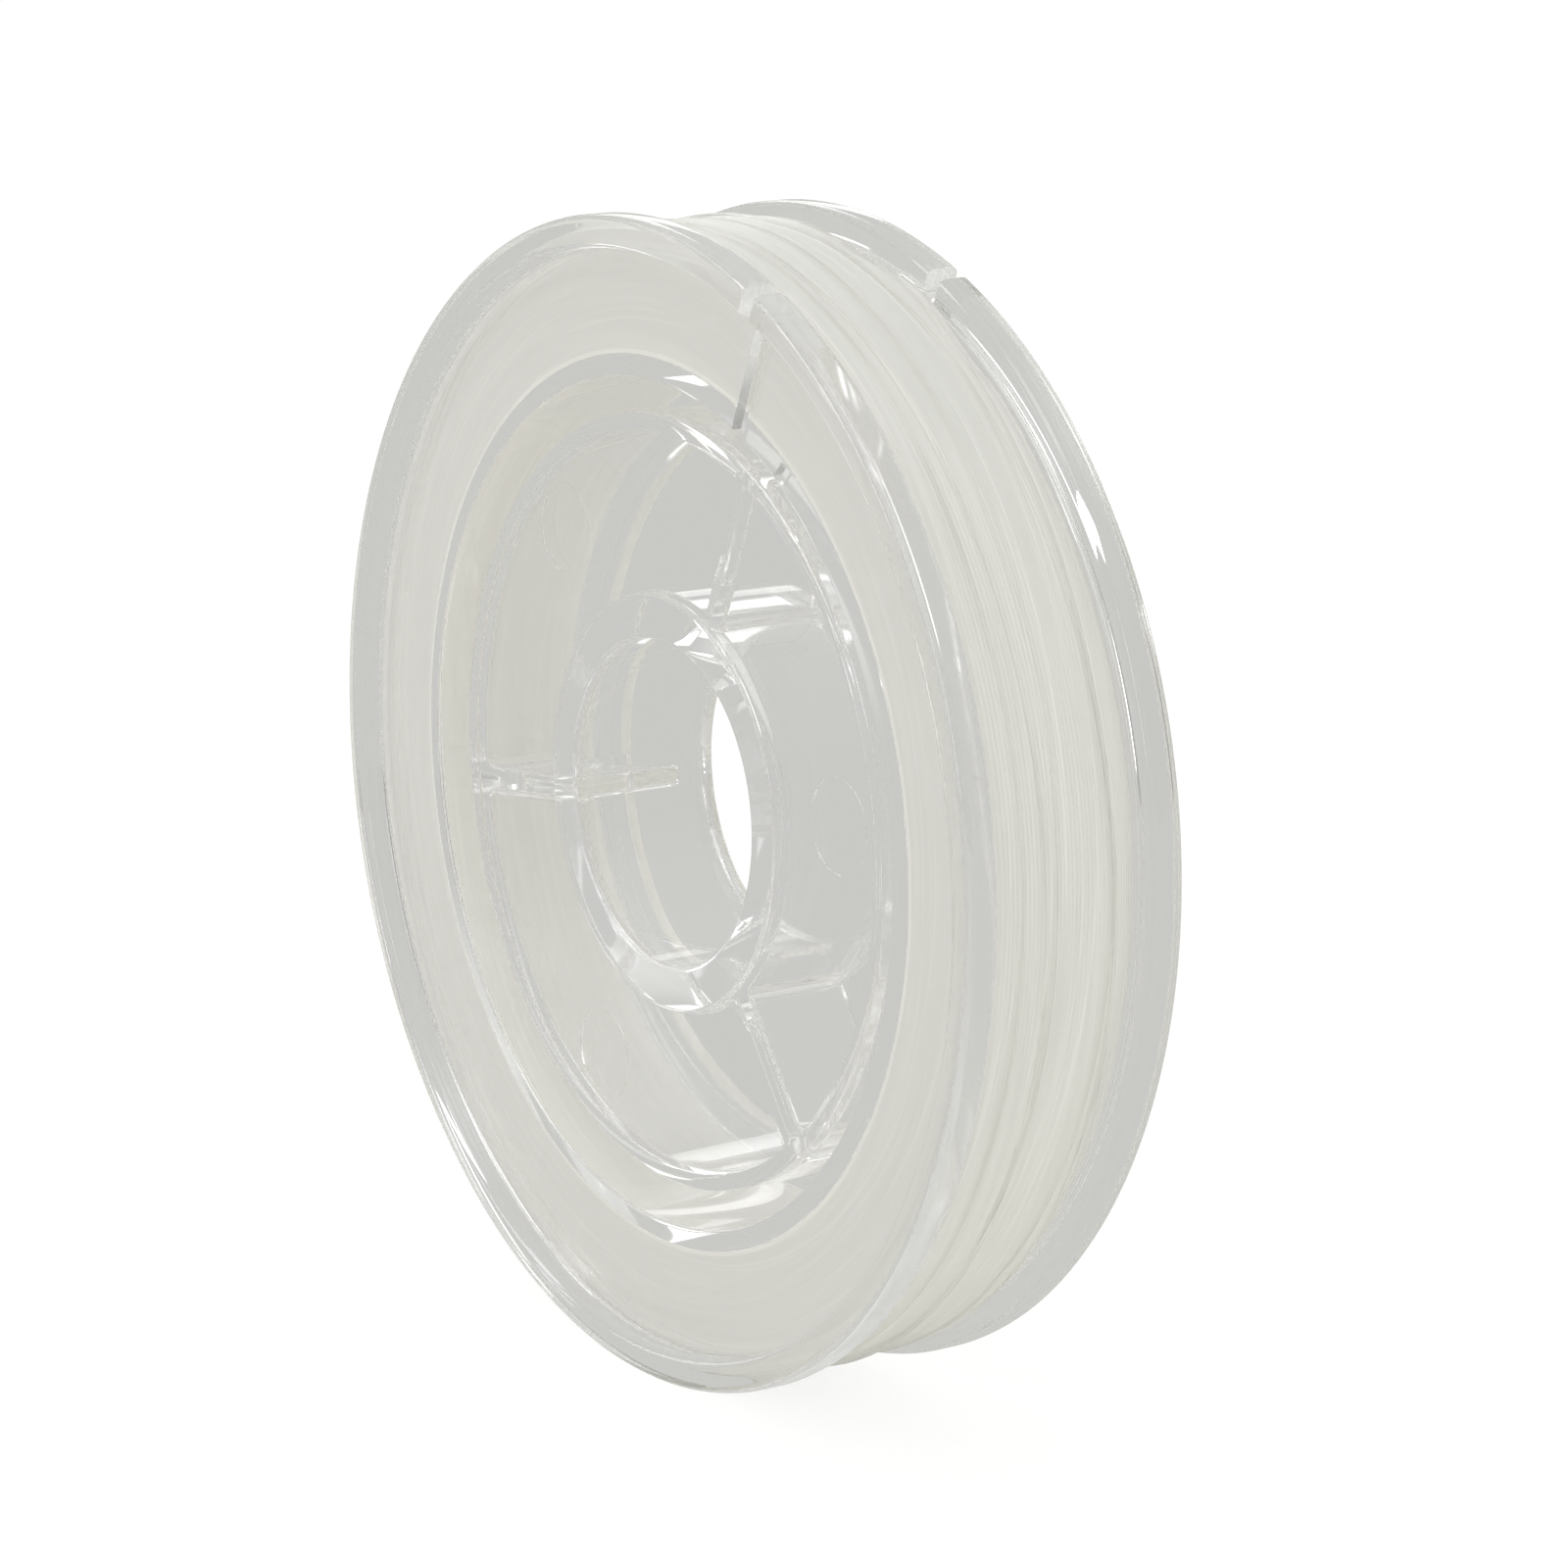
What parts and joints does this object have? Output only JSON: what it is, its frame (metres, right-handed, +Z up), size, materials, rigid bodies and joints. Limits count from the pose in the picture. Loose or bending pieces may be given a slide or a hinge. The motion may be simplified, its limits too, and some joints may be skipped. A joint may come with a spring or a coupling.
{
  "type": "fishing line spool",
  "caption": "Clear moulded spool with thin flanges, ribbed hub and through bore, wound with monofilament fishing line.",
  "frame": {"origin": "middle of the bore, which is also the middle of the rims", "axes": "Y along the spool's axis with the front face towards -Y, +Z up, standing on its rims as in the picture"},
  "size_m": [0.067, 0.0138, 0.067],
  "materials": {
    "clear_plastic": "clear, polished",
    "line": "translucent, milky in bulk"
  },
  "bodies": {
    "root": {"spool_moulding": "clear_plastic", "line_core": "line", "line_turns": "line"}
  },
  "joints": []
}
